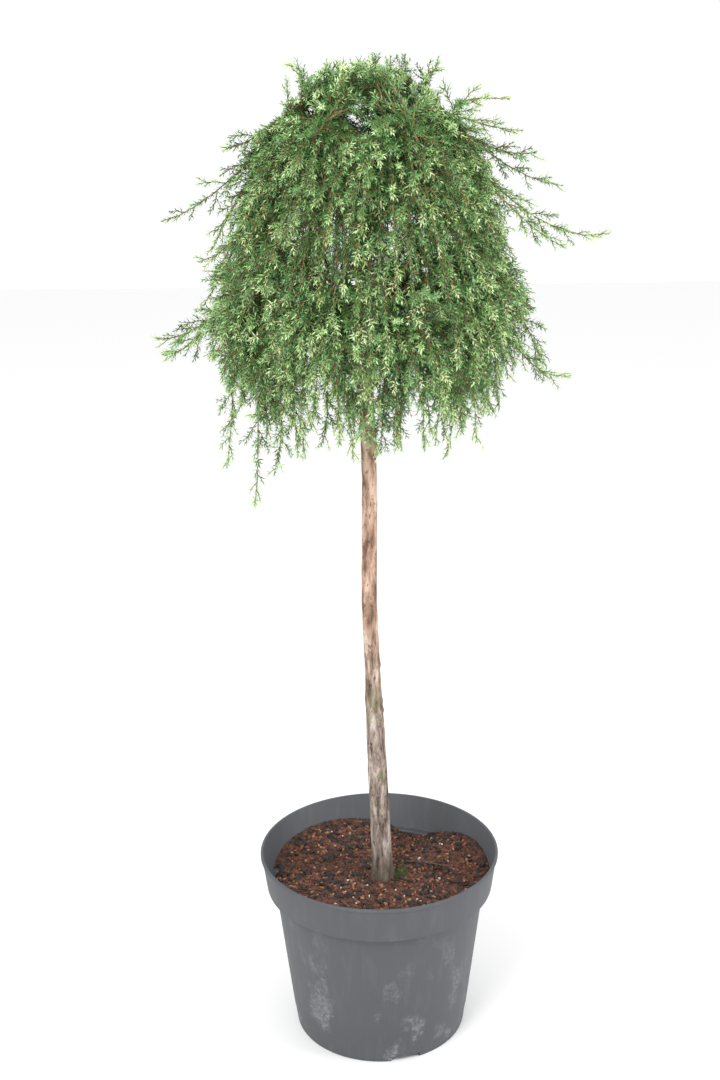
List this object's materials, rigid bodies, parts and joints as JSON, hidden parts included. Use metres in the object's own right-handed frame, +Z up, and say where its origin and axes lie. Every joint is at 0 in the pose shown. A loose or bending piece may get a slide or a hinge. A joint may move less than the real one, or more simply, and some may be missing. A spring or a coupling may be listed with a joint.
{
  "type": "potted common juniper",
  "caption": "Weeping common juniper grown as a small standard: slim bare trunk, drooping dome of needle foliage, in a stepped-collar nursery pot.",
  "frame": {"origin": "centre of the pot's flat underside, on the pot's own axis", "axes": "+Z up along the pot's axis, -Y towards the side seen in the picture, +X to the picture's right"},
  "size_m": [0.5422, 0.3872, 1.2798],
  "materials": {
    "pot_plastic": "satin anthracite plastic with pale water stains",
    "growing_bark": "moist bark chips, fibres and peat",
    "trunk_bark": "thin flaking bark, grey-brown below and salmon above",
    "bough_bark": "thin orange-brown bark",
    "needles": "grey-green needles with pale yellow-green tips"
  },
  "bodies": {
    "root": {"pot": "pot_plastic", "soil": "growing_bark", "trunk": "trunk_bark", "bough_cap_1": "bough_bark", "bough_cap_2": "bough_bark", "bough_cap_3": "bough_bark", "bough_cap_4": "bough_bark", "bough_cap_5": "bough_bark", "bough_cap_6": "bough_bark", "bough_skirt_1": "bough_bark", "bough_skirt_2": "bough_bark", "bough_skirt_3": "bough_bark", "bough_skirt_4": "bough_bark", "bough_skirt_5": "bough_bark", "bough_skirt_6": "bough_bark", "bough_skirt_7": "bough_bark", "bough_skirt_8": "bough_bark", "bough_skirt_9": "bough_bark", "bough_skirt_10": "bough_bark", "foliage_cap_1": "needles", "foliage_cap_2": "needles", "foliage_cap_3": "needles", "foliage_cap_4": "needles", "foliage_cap_5": "needles", "foliage_cap_6": "needles", "foliage_skirt_1": "needles", "foliage_skirt_2": "needles", "foliage_skirt_3": "needles", "foliage_skirt_4": "needles", "foliage_skirt_5": "needles", "foliage_skirt_6": "needles", "foliage_skirt_7": "needles", "foliage_skirt_8": "needles", "foliage_skirt_9": "needles", "foliage_skirt_10": "needles"}
  },
  "joints": []
}
